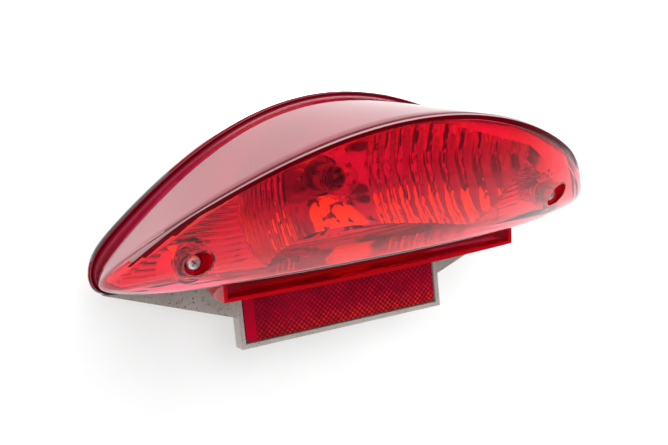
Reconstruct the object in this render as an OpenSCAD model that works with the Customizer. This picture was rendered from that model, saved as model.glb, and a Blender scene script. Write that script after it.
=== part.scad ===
// Tail light of a small motorcycle: a hooded red lens over a metallised reflector and a bayonet bulb,
// with a reflex reflector below, all on a moulded base. X runs across the lamp and Z is up. -Y points
// out of the lens and +Y points into the vehicle. The origin lies on the mounting plane at the back.
// Sizes are measured from the parting plane under the lens, and in_row_frame() moves each finished
// piece forward by the depth of the base.

/* [Rim] */
// Half of the rim's width at the parting plane
rim_half_w = 134.4; // [131:0.2:137]
// Height of the top of the rim above the origin, in the middle
rim_top = 47; // [45:0.5:49]
// How far the top of the rim drops from the middle to its tips
rim_drop = 63.5; // [61:0.5:65]
// Height of the bottom of the rim, in the middle
rim_bottom = -39; // [-41:0.5:-38]
// How far the bottom of the rim rises towards its tips
rim_rise = 1.8; // [1:0.1:2.5]

/* [Lens face] */
// Half of the face's width
face_half_w = 137.5; // [135:0.5:139]
// How far the ridge over the face stands in front of the parting plane, in the middle
ridge_reach = 103.6; // [96:0.5:108]
// How far the ridge sweeps back from the middle to its tips
ridge_sweep = 64; // [60:0.5:66]
// Height of the ridge, in the middle
ridge_top = 39.6; // [37:0.5:42]
// How far the ridge drops from the middle to its tips
ridge_drop = 56.5; // [54:0.5:58]
// How far the lower edge of the face stands in front of the parting plane, in the middle
edge_reach = 65.4; // [62:0.5:68]
// How far the lower edge sweeps back from the middle to its tips
edge_sweep = 46.6; // [44:0.5:48]
// Height of the lower edge, in the middle
edge_z = -30.4; // [-32:0.2:-30]
// How far the lower edge drops from the middle to its tips
edge_drop = 4.1; // [3:0.1:5]
// How far the face bulges past a straight line from its ridge to its lower edge
face_bulge = 7; // [4:0.5:9]

/* [Lens moulding] */
// Wall thickness of the lens
lens_wall = 2.5; // [2:0.1:3]
// Width of the flange outside the hood
flange_w = 2.6; // [2:0.1:3]
// Thickness of the flange
flange_t = 2.6; // [2:0.1:3]
// How far the chromed rim shows outside the lens
rim_show = 0.8; // [0.5:0.1:1.2]
// Half of the width of the open ledge under the face
ledge_half_w = 82.65; // [78:0.5:86]
// Height of the ledge's underside
ledge_z = -42; // [-43:0.2:-41.6]
// How far the ledge's lip stands in front of the parting plane, in the middle
ledge_reach = 49.8; // [47:0.5:52]

/* [Lens screws] */
// Distance from the middle to each lens screw
screw_x = 100; // [98:0.5:102]
// Height of the lens screws
screw_z = -16.9; // [-18:0.1:-16]
// Where the underside of each screw's head sits, in front of the parting plane
head_seat = 55.3; // [54:0.1:56]
// Diameter of the screw's head
head_d = 7; // [6.5:0.1:7.5]
// Thread diameter of the lens screws
thread_d = 3.9; // [3.5:0.1:4.2]
// Length of the screw under its head
screw_len = 22; // [18:1:24]
// Diameter of the deep recess around each screw
recess_d = 12.4; // [11:0.2:13]

/* [Reflector] */
// How far the bottom of the bowl lies behind the parting plane
bowl_back = 9.5; // [8:0.5:10]
// Focal length of the bowl
bowl_focus = 21; // [19:0.5:23]
// Thickness of the reflector
reflector_t = 1.6; // [1.2:0.1:2]
// Thickness of the gasket under the lens
gasket_t = 0.8; // [0.6:0.1:1]

/* [Base] */
// How far the base's tray reaches behind the parting plane
tray_back = 16; // [15:0.5:18]
// How far the bosses and the turret reach behind the parting plane
boss_back = 34.5; // [34:0.5:36]
// Distance between the two upper mounting bosses
mount_spacing = 124; // [118:1:128]
// Height of the two upper mounting bosses
mount_z = 14; // [12:1:16]
// Height of the lower mounting boss
low_mount_z = -47; // [-49:1:-46]
// Bore of the threaded inserts before threading, for M5
insert_bore_d = 4.2; // [4.1:0.05:4.3]

/* [Reflex reflector] */
// Half of the width of the frame around the reflex reflector
frame_half_w = 59.9; // [58:0.1:62]
// Height of the frame's bottom edge
frame_bottom = -78.8; // [-80:0.2:-77]
// Thickness of the frame's walls
frame_wall = 2.35; // [2:0.05:2.6]
// Gap between the reflex reflector and its frame
reflex_gap = 0.8; // [0.5:0.1:1]

/* [Bulb] */
// Height of the bulb's axis
bulb_z = 3; // [2:0.5:4]
// Diameter of the bulb's globe
globe_d = 19; // [18:0.5:20]
// How far the centre of the globe is in front of the parting plane
globe_reach = 13.5; // [13:0.5:14]
// Diameter of the bayonet cap
cap_d = 14.9; // [14.8:0.05:15]
// How far the bulb is pushed in before it can be turned
push_travel = 2.5; // [2:0.1:2.6]

/* [Hidden] */
$fn = 48;

grey_plastic = [0.56, 0.53, 0.5];
chrome = [0.85, 0.86, 0.88];
steel = [0.62, 0.63, 0.65];
brass = [0.8, 0.66, 0.35];
lens_red = [0.78, 0.02, 0.05];
reflex_red = [0.55, 0, 0.1];
black_rubber = [0.1, 0.1, 0.1];
eps = 0.01;

// ---- Curves of the lens. u runs from -1 at the left tip to 1 at the right tip, and t from -1 at the
// ---- bottom to 1 at the top. bow() is 0 in the middle and 1 at the tips.
columns = 36;
rows = 8;
face_tip_power = 16;
rim_tip_power = 40;
blunt_tip = 0.12;
least_half = 3;
function bow(u, share) = share * u ^ 2 + (1 - share) * u ^ 4;
function tip(u, power) = max(blunt_tip, sqrt(max(0, 1 - abs(u) ^ power)));
function mix(a, b, k) = a + (b - a) * k;
function column_u(i) = sin(180 * i / columns - 90);
function row_t(j) = 2 * j / rows - 1;

// A point of the lens's face. wall moves it in from the outer skin.
function face_point(u, t, wall) =
    let (
        ridge = [-ridge_reach + ridge_sweep * bow(u, 0.66), ridge_top - ridge_drop * bow(u, 0.97)],
        edge = [-edge_reach + edge_sweep * bow(u, 0.85), edge_z - edge_drop * bow(u, 1.35)],
        top = ridge + wall * [1.3, -1],
        low = edge + wall * [0.9, 1],
        close = tip(u, face_tip_power),
        across = (top + low) / 2 + t * close * (top - low) / 2,
        bulge = face_bulge * close * (1 - t ^ 2) * [-0.88, -0.47]
    )
    [(face_half_w - 1.2 * wall) * u, across[0] + bulge[0], across[1] + bulge[1]];

// A point of the rim's outline in the plane y, moved in by inset.
function rim_point(u, t, inset, y) =
    let (
        top = rim_top - rim_drop * bow(u, 1.1) - inset,
        low = rim_bottom + rim_rise * bow(u, 1) + inset,
        half = max(least_half, (top - low) / 2)
    )
    [(rim_half_w - inset) * u, y, (top + low) / 2 + t * tip(u, rim_tip_power) * half];

// The grid's outermost points, once round.
edge_cells = concat(
    [for (i = [0:columns]) [i, rows]],
    [for (j = [rows - 1:-1:1]) [columns, j]],
    [for (i = [columns:-1:0]) [i, 0]],
    [for (j = [1:rows - 1]) [0, j]]
);
loop_len = len(edge_cells);
grid_len = (columns + 1) * (rows + 1);
function cell_index(i, j) = i * (rows + 1) + j;
function flip(triangle, turn) = turn ? [triangle[0], triangle[2], triangle[1]] : triangle;
function grid_faces(first, turn) = [
    for (i = [0:columns - 1], j = [0:rows - 1])
        let (
            a = first + cell_index(i, j),
            b = first + cell_index(i + 1, j),
            c = first + cell_index(i + 1, j + 1),
            d = first + cell_index(i, j + 1)
        )
        each [flip([a, c, b], turn), flip([a, d, c], turn)]
];
function grid_edge(first) = [for (c = edge_cells) first + cell_index(c[0], c[1])];
function row_loop(first, k) = [for (n = [0:loop_len - 1]) first + k * loop_len + n];
function band(a, b, turn) = [
    for (n = [0:loop_len - 1])
        let (m = (n + 1) % loop_len)
        each [flip([a[n], b[m], a[m]], turn), flip([a[n], b[n], b[m]], turn)]
];
function bands(loops, turn) = [
    for (k = [0:len(loops) - 2]) each band(loops[k], loops[k + 1], turn)
];
function flat(lists) = [for (l = lists) each l];

function rim_row(inset, y) = [
    for (c = edge_cells) rim_point(column_u(c[0]), row_t(c[1]), inset, y)
];
function hood_row(wall, k) = [
    for (c = edge_cells)
        let (u = column_u(c[0]), t = row_t(c[1]))
        mix(face_point(u, t, wall), rim_point(u, t, rim_show + flange_w + wall, -flange_t), k)
];
function face_grid(wall) = [
    for (i = [0:columns], j = [0:rows]) face_point(column_u(i), row_t(j), wall)
];
function rim_outline(inset) = [for (p = rim_row(inset, 0)) [p[0], p[2]]];

// ---- Helpers. Everything round is built along Y.
module in_row_frame() {
    translate([0, -boss_back, 0]) children();
}
module along_y(x, z, y0, y1, r) {
    translate([x, y1, z]) rotate([90, 0, 0]) cylinder(h = y1 - y0, r = r);
}
module slab(points, y0, y1) {
    translate([0, y1, 0]) rotate([90, 0, 0]) linear_extrude(y1 - y0) polygon(points);
}
module both_sides() {
    for (side = [-1, 1]) scale_x(side) children();
}
module scale_x(side) {
    if (side < 0) mirror([1, 0, 0]) children();
    else children();
}
// Turns a profile drawn as [radius, distance along Y] about the bulb's axis.
module about_bulb_axis(angle = 360) {
    translate([0, 0, bulb_z]) rotate([-90, 0, 0]) rotate_extrude(angle = angle) children();
}

// ---- Lens
recess_wall = 1.8;
seat_t = 2.4;
module lens_shell() {
    outer_rows = concat(
        [hood_row(0, 0.35), hood_row(0, 0.7), hood_row(0, 1)],
        [rim_row(rim_show, -flange_t), rim_row(rim_show, 0)]
    );
    inner_rows = concat(
        [hood_row(lens_wall, 0.35), hood_row(lens_wall, 0.7), hood_row(lens_wall, 1)],
        [rim_row(rim_show + flange_w + lens_wall, 0)]
    );
    outer_loop_at = grid_len;
    inner_at = grid_len + len(outer_rows) * loop_len;
    inner_loop_at = inner_at + grid_len;
    outer_loops = concat(
        [grid_edge(0)], [for (k = [0:len(outer_rows) - 1]) row_loop(outer_loop_at, k)]
    );
    inner_loops = concat(
        [grid_edge(inner_at)], [for (k = [0:len(inner_rows) - 1]) row_loop(inner_loop_at, k)]
    );
    last_outer = outer_loops[len(outer_loops) - 1];
    last_inner = inner_loops[len(inner_loops) - 1];
    polyhedron(
        points = concat(face_grid(0), flat(outer_rows), face_grid(lens_wall), flat(inner_rows)),
        faces = concat(
            grid_faces(0, false), bands(outer_loops, false),
            grid_faces(inner_at, true), bands(inner_loops, true),
            band(last_outer, last_inner, false)
        )
    );
}
// The space inside the lens's outer skin, for cutting the screw cups to the face.
module lens_envelope() {
    rear = rim_row(rim_show + flange_w, 0);
    rear_loop = row_loop(grid_len, 0);
    polyhedron(
        points = concat(face_grid(0.3), rear),
        faces = concat(
            grid_faces(0, false), band(grid_edge(0), rear_loop, false),
            [[for (n = [loop_len - 1:-1:0]) rear_loop[n]]]
        )
    );
}
module screw_cups() {
    cup_front = 90;
    intersection() {
        both_sides() along_y(screw_x, screw_z, -cup_front, -head_seat + seat_t, recess_d / 2 + recess_wall);
        lens_envelope();
    }
}
// The ledge is a channel under the face, open to the front, with closed ends.
module ledge() {
    ledge_wall = 2;
    ledge_ends = 8.6;
    back_y = -31;
    top_z = -32.2;
    lip_steps = 10;
    lip = [
        for (k = [0:lip_steps])
            let (x = mix(-ledge_half_w, ledge_half_w, k / lip_steps))
            [x, -ledge_reach + ledge_ends * (x / 100) ^ 2]
    ];
    translate([0, 0, ledge_z])
        linear_extrude(ledge_wall)
            polygon(concat(lip, [[ledge_half_w, back_y], [-ledge_half_w, back_y]]));
    translate([-ledge_half_w, back_y - ledge_wall, ledge_z])
        cube([2 * ledge_half_w, ledge_wall, top_z - ledge_z]);
    both_sides()
        translate([ledge_half_w - ledge_wall, 0, 0])
            rotate([90, 0, 90])
                linear_extrude(ledge_wall)
                    polygon([[-23, -33], [-23, -38.5], [-29, ledge_z + 1], [-33, ledge_z],
                        [-43.7, ledge_z], [-45.3, -31.8]]);
}
module lens() {
    hole_d = thread_d + 0.6;
    color(lens_red) in_row_frame()
        difference() {
            union() {
                lens_shell();
                screw_cups();
                ledge();
            }
            both_sides() {
                along_y(screw_x, screw_z, -100, -head_seat, recess_d / 2);
                along_y(screw_x, screw_z, -head_seat - 1, -head_seat + seat_t + 1, hole_d / 2);
            }
        }
}

// ---- Reflector: a wide bowl round the bulb, sunk between two wings that follow the lens's face. A
// ---- skirt joins it to a flat rim.
wing_gap = 16;
rim_flat = 8.5;
skirt_w = 3;
function bowl_y(x, z) = bowl_back - (x ^ 2 + (z - bulb_z) ^ 2) / (4 * bowl_focus);
function wing_y(x, z) =
    let (
        top = face_point(x / face_half_w, 1, 0),
        low = face_point(x / face_half_w, -1, 0),
        k = (z - low[2]) / (top[2] - low[2])
    )
    mix(low[1], top[1], k) - 3.5 * face_bulge * k * (1 - k) + wing_gap;
function mirror_grid(inset, share, y0) = [
    for (i = [0:columns], j = [0:rows])
        let (p = rim_point(share * column_u(i), row_t(j), inset, 0))
        [p[0], y0 + max(bowl_y(p[0], p[2]), wing_y(p[0], p[2])), p[2]]
];
module reflector() {
    neck_hole_r = 11.5;
    cup_gap = 1.5;
    front_share = 0.92;
    back_share = 0.9;
    back_y = gasket_t + reflector_t;
    rim_rows = [
        rim_row(rim_flat, gasket_t), rim_row(0, gasket_t),
        rim_row(0, back_y), rim_row(rim_flat + reflector_t, back_y)
    ];
    back_at = grid_len + len(rim_rows) * loop_len;
    loops = concat(
        [grid_edge(0)],
        [for (k = [0:len(rim_rows) - 1]) row_loop(grid_len, k)],
        [grid_edge(back_at)]
    );
    color(chrome) in_row_frame()
        difference() {
            polyhedron(
                points = concat(
                    mirror_grid(rim_flat + skirt_w, front_share, gasket_t), flat(rim_rows),
                    mirror_grid(rim_flat + skirt_w + reflector_t, back_share, back_y)
                ),
                faces = concat(grid_faces(0, false), grid_faces(back_at, true), bands(loops, false))
            );
            along_y(0, bulb_z, -20, 30, neck_hole_r);
            both_sides() along_y(screw_x, screw_z, -90, 30, recess_d / 2 + recess_wall + cup_gap);
        }
}
module lens_gasket() {
    color(black_rubber) in_row_frame()
        difference() {
            slab(rim_outline(rim_show + 0.9), eps, gasket_t - eps);
            slab(rim_outline(rim_show + flange_w + lens_wall - 0.9), -1, 2);
        }
}

// ---- Base
seat_y = gasket_t + reflector_t + eps;
plate_t = 2.6;
tower_r = 5;
tray_inset = 8;
tray_wall = 2.4;
floor_y = tray_back - tray_wall;
turret_r = 15.5;
turret_bore_r = 12.6;
lead_y = 27.5;
lead_pitch = 2.9;
lead_r = 0.9;
chamber_x = 6;
chamber_depth = 12.6;
grommet_r = 4.6;
grommet_wall_x = 13.4;
grommet_face_x = 17.5;
low_boss_r = 6;
boss_r = 7;
insert_r = 3.6;
insert_len = 12;
pilot_d = thread_d + 0.1;
bracket_front = 0.5;
frame_front = 3.2;
frame_floor = 2.6;
peg_x = 40;
peg_z = -60;
peg_r = 1.9;
bracket_back = seat_y + plate_t;
bracket_tip = [128, -37.2];
bracket_low = -63.5;
socket_bore_r = 7.6;
socket_r = 8.3;
rivet_x = 12.2;
rivet_r = 1.5;

module mount_points() {
    for (side = [-1, 1]) translate([side * mount_spacing / 2, 0, mount_z]) children();
    translate([0, 0, low_mount_z]) children();
}
module bracket() {
    difference() {
        slab([
            [-bracket_tip[0], bracket_tip[1]], [-frame_half_w + 3, bracket_low],
            [frame_half_w - 3, bracket_low], bracket_tip, [100, -30], [-100, -30]
        ], bracket_front, bracket_back);
        slab(rim_outline(-0.3), -1, seat_y + 0.2);
        reflex_pocket();
    }
}
module reflex_pocket() {
    pocket_h = 60;
    translate([-frame_half_w + frame_wall, -frame_front - 1, frame_bottom + frame_wall])
        cube([2 * (frame_half_w - frame_wall), frame_front + 1 + frame_floor, pocket_h]);
}
module reflex_frame() {
    top_z = -41;
    difference() {
        translate([-frame_half_w, -frame_front, frame_bottom])
            cube([2 * frame_half_w, frame_front + bracket_back, top_z - frame_bottom]);
        reflex_pocket();
        slab(rim_outline(-0.3), -10, seat_y + 0.2);
    }
}
module tray() {
    difference() {
        slab(rim_outline(rim_show), seat_y, seat_y + plate_t);
        slab(rim_outline(tray_inset + tray_wall), 0, 20);
    }
    difference() {
        slab(rim_outline(tray_inset), seat_y, tray_back);
        slab(rim_outline(tray_inset + tray_wall), 0, floor_y);
    }
}
module turret() {
    along_y(0, bulb_z, floor_y + 1, boss_back, turret_r);
    translate([0, floor_y + 1.2, bulb_z - 8]) cube([grommet_face_x, boss_back - floor_y - 2, 16]);
}
module screw_towers() {
    rib_y = seat_y + plate_t + 2;
    both_sides() {
        along_y(screw_x, screw_z, -head_seat + seat_t + 0.1, floor_y + 1, tower_r);
        for (turn = [0, 90])
            translate([screw_x, 0, screw_z]) rotate([0, turn, 0])
                translate([-9, rib_y, -0.9]) cube([18, floor_y - rib_y + 1, 1.8]);
    }
}
module wire_clip() {
    clip_x = 42;
    translate([clip_x, tray_back - 1, bulb_z - 7.5]) cube([6, lead_y - tray_back + 4.4, 2]);
    translate([clip_x, lead_y + 1.4, bulb_z - 7.5]) cube([6, 2, 12]);
}
module lower_ribs() {
    for (x = [-low_boss_r + 1, low_boss_r - 3])
        translate([x, bracket_back - 1, low_mount_z]) cube([2, tray_back - bracket_back + 1, 17]);
}
module base_housing() {
    color(grey_plastic) in_row_frame()
        difference() {
            union() {
                tray();
                bracket();
                reflex_frame();
                turret();
                screw_towers();
                wire_clip();
                lower_ribs();
                for (side = [-1, 1])
                    along_y(side * mount_spacing / 2, mount_z, floor_y + 1, boss_back, boss_r);
                along_y(0, low_mount_z, bracket_back - 1, boss_back, low_boss_r);
            }
            along_y(0, bulb_z, floor_y - 1, boss_back - 2, turret_bore_r);
            translate([chamber_x, lead_y - 7, bulb_z - 7])
                cube([grommet_wall_x - chamber_x, chamber_depth, 14]);
            translate([5, lead_y, bulb_z]) rotate([0, 90, 0]) cylinder(h = 20, r = grommet_r);
            both_sides()
                along_y(screw_x, screw_z, -60, -head_seat + seat_t + screw_len, pilot_d / 2);
            mount_points() along_y(0, 0, boss_back - insert_len, boss_back + 1, insert_r);
            for (side = [-1, 1]) along_y(side * peg_x, peg_z, 0, 10, peg_r + 0.1);
        }
}
module mounting_inserts() {
    color(brass) in_row_frame()
        mount_points()
            difference() {
                along_y(0, 0, boss_back - insert_len, boss_back, insert_r);
                along_y(0, 0, boss_back - insert_len - 1, boss_back + 1, insert_bore_d / 2);
            }
}

// ---- Lens screws
module lens_screw() {
    head_h = 2.6;
    dome_r = 5.2;
    slot_l = 4.2;
    slot_w = 0.9;
    slot_depth = 1.7;
    color(steel) in_row_frame()
        translate([0, -head_seat, screw_z])
            difference() {
                union() {
                    intersection() {
                        rotate([90, 0, 0]) cylinder(h = head_h, d = head_d);
                        translate([0, dome_r - head_h, 0]) sphere(r = dome_r);
                    }
                    rotate([-90, 0, 0]) cylinder(h = screw_len, d = thread_d);
                }
                for (turn = [45, 135])
                    rotate([0, turn, 0])
                        translate([-slot_l / 2, -head_h - 1, -slot_w / 2])
                            cube([slot_l, slot_depth + 1, slot_w]);
            }
}
module left_lens_screw() {
    translate([-screw_x, 0, 0]) lens_screw();
}
module right_lens_screw() {
    translate([screw_x, 0, 0]) lens_screw();
}

// ---- Bulb socket: a steel barrel with two hooked slots for the bulb's pins.
socket_front = -5;
spring_end_y = 22.5;
socket_floor_t = 0.8;
pin_y = [2, 5];
pin_r = 1;
slot_r = pin_r + 0.2;
entry_turn = 28;
flange_r = 16;
flange_y = floor_y - 0.8;
lead_hole_r = 4.6;
module pin_slot(y) {
    y_in = y + push_travel;
    cross_half = socket_r * sin(entry_turn / 2) + slot_r;
    translate([0, 0, bulb_z]) {
        translate([6, y - slot_r, -slot_r]) cube([4, push_travel + slot_r, 2 * slot_r]);
        rotate([0, -entry_turn, 0])
            translate([6, socket_front - 1, -slot_r]) cube([4, y_in - socket_front + 1, 2 * slot_r]);
        rotate([0, -entry_turn / 2, 0])
            translate([6, y_in - slot_r, -cross_half]) cube([4, 2 * slot_r, 2 * cross_half]);
    }
}
module bulb_socket() {
    color(steel) in_row_frame()
        difference() {
            about_bulb_axis() {
                translate([socket_bore_r, socket_front])
                    square([socket_r - socket_bore_r, spring_end_y + socket_floor_t - socket_front]);
                translate([socket_r - eps, flange_y]) square([flange_r - socket_r, floor_y - flange_y - eps]);
                translate([lead_hole_r, spring_end_y]) square([socket_r - lead_hole_r, socket_floor_t]);
            }
            pin_slot(pin_y[0]);
            mirror([1, 0, 0]) pin_slot(pin_y[1]);
            for (side = [-1, 1]) along_y(side * rivet_x * cos(45), bulb_z + side * rivet_x * sin(45),
                flange_y - 1, floor_y + 1, rivet_r);
        }
}
module socket_rivets() {
    head_t = 0.8;
    head_r = 2.6;
    color(steel) in_row_frame()
        for (side = [-1, 1]) {
            x = side * rivet_x * cos(45);
            z = bulb_z + side * rivet_x * sin(45);
            along_y(x, z, flange_y - head_t, flange_y, head_r);
            along_y(x, z, flange_y - eps, floor_y - eps, rivet_r - eps);
        }
}

// ---- Contacts behind the bulb
plate_y = 14.8;
contact_plate_t = 1.6;
contact_z = 2.9;
stud_r = 1.1;
module contact_plate() {
    color([0.42, 0.24, 0.12]) in_row_frame()
        difference() {
            along_y(0, bulb_z, plate_y, plate_y + contact_plate_t, socket_bore_r - 0.15);
            for (side = [-1, 1])
                along_y(0, bulb_z + side * contact_z, plate_y - 1, plate_y + 3, stud_r + eps);
        }
}
module contact_studs() {
    head_r = 2;
    color(brass) in_row_frame()
        for (side = [-1, 1]) {
            z = bulb_z + side * contact_z;
            along_y(0, z, plate_y - 0.7, plate_y - eps, head_r);
            along_y(0, z, plate_y - 0.1, plate_y + contact_plate_t + 1, stud_r);
        }
}
module contact_spring() {
    coil_r = 5.9;
    spring_wire_r = 0.4;
    turns = 3.5;
    steps = 84;
    sides = 6;
    y0 = plate_y + contact_plate_t + spring_wire_r + 0.02;
    y1 = spring_end_y - spring_wire_r - 0.02;
    ring = [for (k = [0:steps], m = [0:sides - 1])
        let (
            a = 360 * turns * k / steps,
            b = 360 * m / sides,
            r = coil_r + spring_wire_r * cos(b)
        )
        [r * cos(a), mix(y0, y1, k / steps) + spring_wire_r * sin(b), bulb_z + r * sin(a)]
    ];
    color(steel) in_row_frame()
        polyhedron(
            points = ring,
            faces = concat(
                [for (k = [0:steps - 1], m = [0:sides - 1])
                    let (n = (m + 1) % sides)
                    each [
                        [k * sides + m, (k + 1) * sides + m, (k + 1) * sides + n],
                        [k * sides + m, (k + 1) * sides + n, k * sides + n]
                    ]],
                [[for (m = [0:sides - 1]) m]],
                [[for (m = [sides - 1:-1:0]) steps * sides + m]]
            )
        );
}

// ---- Bulb
cap_r = cap_d / 2;
cap_front = -5.5;
cap_wall = 0.4;
insulator_back = 13.6;
cap_back = insulator_back - 1.2;
glass_t = 0.7;
neck_r = 5.6;
globe_r = globe_d / 2;
module bulb_cap() {
    pin_out = 8.5;
    color(brass) in_row_frame()
        union() {
            about_bulb_axis() {
                translate([cap_r - cap_wall, cap_front]) square([cap_wall, cap_back - cap_front]);
                translate([cap_r - 1.6, cap_back - cap_wall]) square([1.6, cap_wall]);
            }
            for (n = [0, 1])
                mirror([n, 0, 0])
                    translate([cap_r - 0.2, pin_y[n], bulb_z])
                        rotate([0, 90, 0]) cylinder(h = pin_out - cap_r + 0.2, r = pin_r);
        }
}
module bulb_insulator() {
    color([0.08, 0.08, 0.1]) in_row_frame()
        difference() {
            along_y(0, bulb_z, cap_back - 2.4, insulator_back - 0.2, cap_r - 1.6 - 0.02);
            for (side = [-1, 1])
                along_y(0, bulb_z + side * contact_z, cap_back - 3, insulator_back, 1.5 + eps);
        }
}
module bulb_contacts() {
    color([0.72, 0.72, 0.7]) in_row_frame()
        for (side = [-1, 1])
            along_y(0, bulb_z + side * contact_z, cap_back - 2, plate_y - 0.7 - 0.02, 1.5);
}
module bulb_glass() {
    neck_back = 3;
    color([0.9, 0.95, 1, 0.4]) in_row_frame()
        about_bulb_axis()
            intersection() {
                translate([0, -60]) square([20, 80]);
                difference() {
                    union() {
                        translate([0, -globe_reach]) circle(r = globe_r);
                        translate([0, -globe_reach]) square([neck_r, globe_reach + neck_back]);
                    }
                    translate([0, -globe_reach]) circle(r = globe_r - glass_t);
                    translate([0, -globe_reach]) square([neck_r - glass_t, globe_reach + neck_back + 1]);
                }
            }
}
stem_front = -4.5;
support_r = 0.3;
support_x = 2.4;
filament_gap = 2.2;
support_tip = -globe_reach - 0.5;
module bulb_stem() {
    color([0.85, 0.9, 0.92, 0.6]) in_row_frame()
        about_bulb_axis() {
            translate([0, stem_front]) square([1.6, 5]);
            translate([0, stem_front + 4.9]) square([neck_r - glass_t - 0.02, 2.4]);
        }
}
module filament_supports() {
    color(steel) in_row_frame()
        for (x = [-support_x, support_x], z = [-filament_gap, filament_gap])
            along_y(x, bulb_z + z, support_tip, stem_front + 4.8, support_r);
}
module filament(z, r) {
    color([0.35, 0.35, 0.38]) in_row_frame()
        translate([-support_x + support_r + eps, support_tip + 0.5, bulb_z + z])
            rotate([0, 90, 0]) cylinder(h = 2 * (support_x - support_r - eps), r = r);
}
module tail_filament() {
    filament(filament_gap, 0.25);
}
module stop_filament() {
    filament(-filament_gap, 0.4);
}

// ---- Reflex reflector
reflex_half_w = frame_half_w - frame_wall - reflex_gap;
reflex_low = frame_bottom + frame_wall + reflex_gap;
reflex_high = -44.5;
reflex_front = 2.5;
backing_t = 1.5;
corner_r = 3;
module rounded_slab(half_w, z0, z1, y0, y1, r) {
    translate([0, y1, 0])
        rotate([90, 0, 0])
            linear_extrude(y1 - y0)
                union() {
                    translate([-half_w + r, z0]) square([2 * (half_w - r), z1 - z0]);
                    translate([-half_w, z0 + r]) square([2 * half_w, z1 - z0 - 2 * r]);
                    for (x = [-half_w + r, half_w - r], z = [z0 + r, z1 - r])
                        translate([x, z]) circle(r = r);
                }
}
module reflex_lens() {
    color(reflex_red) in_row_frame()
        rounded_slab(reflex_half_w, reflex_low, reflex_high, -reflex_front,
            frame_floor - backing_t - 2 * eps, corner_r);
}
module reflex_backing() {
    color([0.9, 0.9, 0.88]) in_row_frame()
        union() {
            rounded_slab(reflex_half_w, reflex_low, reflex_high, frame_floor - backing_t,
                frame_floor - eps, corner_r);
            for (side = [-1, 1])
                along_y(side * peg_x, peg_z, frame_floor - 0.5, bracket_back + 2.4, peg_r);
        }
}
module reflex_push_nuts() {
    color(steel) in_row_frame()
        for (side = [-1, 1])
            difference() {
                along_y(side * peg_x, peg_z, bracket_back + eps, bracket_back + 0.8, 4.5);
                along_y(side * peg_x, peg_z, 0, 20, peg_r + eps);
            }
}

// ---- Wiring
module lead_path(start_x, start_y, z, bend_r, end_x, r) {
    bend_y = lead_y - bend_r;
    if (bend_y > start_y) along_y(start_x, z, start_y, bend_y + eps, r);
    translate([start_x + bend_r, bend_y, z])
        mirror([1, 0, 0]) rotate_extrude(angle = 90) translate([bend_r, 0]) circle(r = r);
    translate([start_x + bend_r - eps, lead_y, z])
        rotate([0, 90, 0]) cylinder(h = end_x - start_x - bend_r + eps, r = r);
}
stud_back = plate_y + contact_plate_t + 1;
tail_end = 70;
stop_end = 88;
ground_end = 106;
bare = 4;
module tail_wire() {
    color([0.15, 0.15, 0.6]) in_row_frame()
        lead_path(0, stud_back + eps, bulb_z + lead_pitch, 3.5, tail_end, lead_r);
}
module stop_wire() {
    color([0.75, 0.6, 0.1]) in_row_frame()
        lead_path(0, stud_back + eps, bulb_z - lead_pitch, 3.5, stop_end, lead_r);
}
module ground_wire() {
    color([0.1, 0.35, 0.15]) in_row_frame()
        lead_path(5.6, spring_end_y + socket_floor_t + eps, bulb_z, lead_y - spring_end_y - socket_floor_t - eps,
            ground_end, lead_r);
}
module lead_ends() {
    for (end = [[tail_end, lead_pitch], [stop_end, -lead_pitch], [ground_end, 0]])
        translate([end[0], lead_y, bulb_z + end[1]]) rotate([0, 90, 0]) children();
}
module bullet_terminals() {
    color(brass) in_row_frame()
        lead_ends() {
            translate([0, 0, eps]) cylinder(h = 9, r = 1.1);
            translate([0, 0, 9]) sphere(r = 1.55);
        }
}
module terminal_sleeves() {
    color([0.12, 0.12, 0.12]) in_row_frame()
        lead_ends()
            difference() {
                translate([0, 0, -5]) cylinder(h = 11, r = 1.7);
                translate([0, 0, -6]) cylinder(h = 13, r = 1.1 + eps);
            }
}
module wire_grommet() {
    color(black_rubber) in_row_frame()
        difference() {
            union() {
                translate([grommet_wall_x - 1, lead_y, bulb_z]) rotate([0, 90, 0])
                    cylinder(h = grommet_face_x - grommet_wall_x + 2, r = grommet_r - eps);
                translate([grommet_wall_x - 1.5, lead_y, bulb_z]) rotate([0, 90, 0])
                    cylinder(h = 1.5 - eps, r = 5.4);
                translate([grommet_face_x + eps, lead_y, bulb_z]) rotate([0, 90, 0])
                    cylinder(h = 2, r = 6.2);
            }
            for (k = [-1, 0, 1])
                translate([10, lead_y, bulb_z + k * lead_pitch]) rotate([0, 90, 0])
                    cylinder(h = 12, r = lead_r + eps);
        }
}

base_housing();
mounting_inserts();
reflector();
lens_gasket();
lens();
left_lens_screw();
right_lens_screw();
bulb_socket();
socket_rivets();
contact_plate();
contact_studs();
contact_spring();
bulb_cap();
bulb_insulator();
bulb_contacts();
bulb_glass();
bulb_stem();
tail_filament();
stop_filament();
filament_supports();
reflex_lens();
reflex_backing();
reflex_push_nuts();
wire_grommet();
tail_wire();
stop_wire();
ground_wire();
terminal_sleeves();
bullet_terminals();
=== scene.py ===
"""The tail light's looks: a finely meshed red lens with its bead, flange and ledge, a fluted metallised
reflector, a wound spring and filaments, threads, and a procedural material on every piece, built
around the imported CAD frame. Everything is in metres in the row frame: -Y out of the lens, +Z up.
"""
import math

import bmesh
import bpy
import numpy as np
from mathutils import Matrix, Vector

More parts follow.
